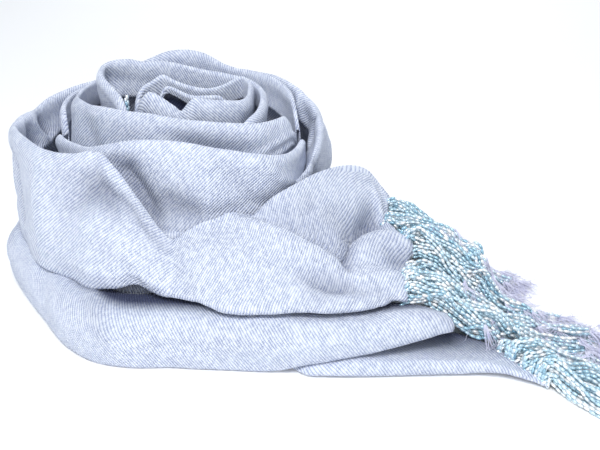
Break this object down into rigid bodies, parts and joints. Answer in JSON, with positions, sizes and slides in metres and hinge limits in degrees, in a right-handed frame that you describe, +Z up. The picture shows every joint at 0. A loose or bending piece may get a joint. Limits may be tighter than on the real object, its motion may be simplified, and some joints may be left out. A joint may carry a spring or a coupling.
{
  "type": "fringed shawl",
  "caption": "Soft twill shawl loosely rolled into a rosette and laid flat, its tail brought round the front and ending in a beaded fringe.",
  "frame": {"origin": "middle of the laid shawl's box, on the surface it lies on", "axes": "+X along the tail towards its fringe, +Y away from the side that the tail crosses, +Z up"},
  "size_m": [0.3836, 0.2964, 0.1153],
  "materials": {
    "shawl_cloth": "soft pale periwinkle twill with a slight silky sheen",
    "inner_cloth": "the same twill in the shade of the folds",
    "beads": "glossy aqua glass seed beads with a silver lining",
    "thread": "loose periwinkle thread ends"
  },
  "bodies": {
    "root": {"coil_core": "shawl_cloth", "coil_inner": "shawl_cloth", "coil_second": "shawl_cloth", "coil_third": "shawl_cloth", "coil_front": "shawl_cloth", "coil_back": "shawl_cloth", "wrap_right": "shawl_cloth", "wrap_left": "shawl_cloth", "tail_top": "shawl_cloth", "tail_middle": "shawl_cloth", "tail_bottom": "shawl_cloth", "inner_layers": "inner_cloth", "fringe_upper": "beads", "fringe_middle": "beads", "fringe_lower": "beads", "fringe_eye": "beads"}
  },
  "joints": []
}
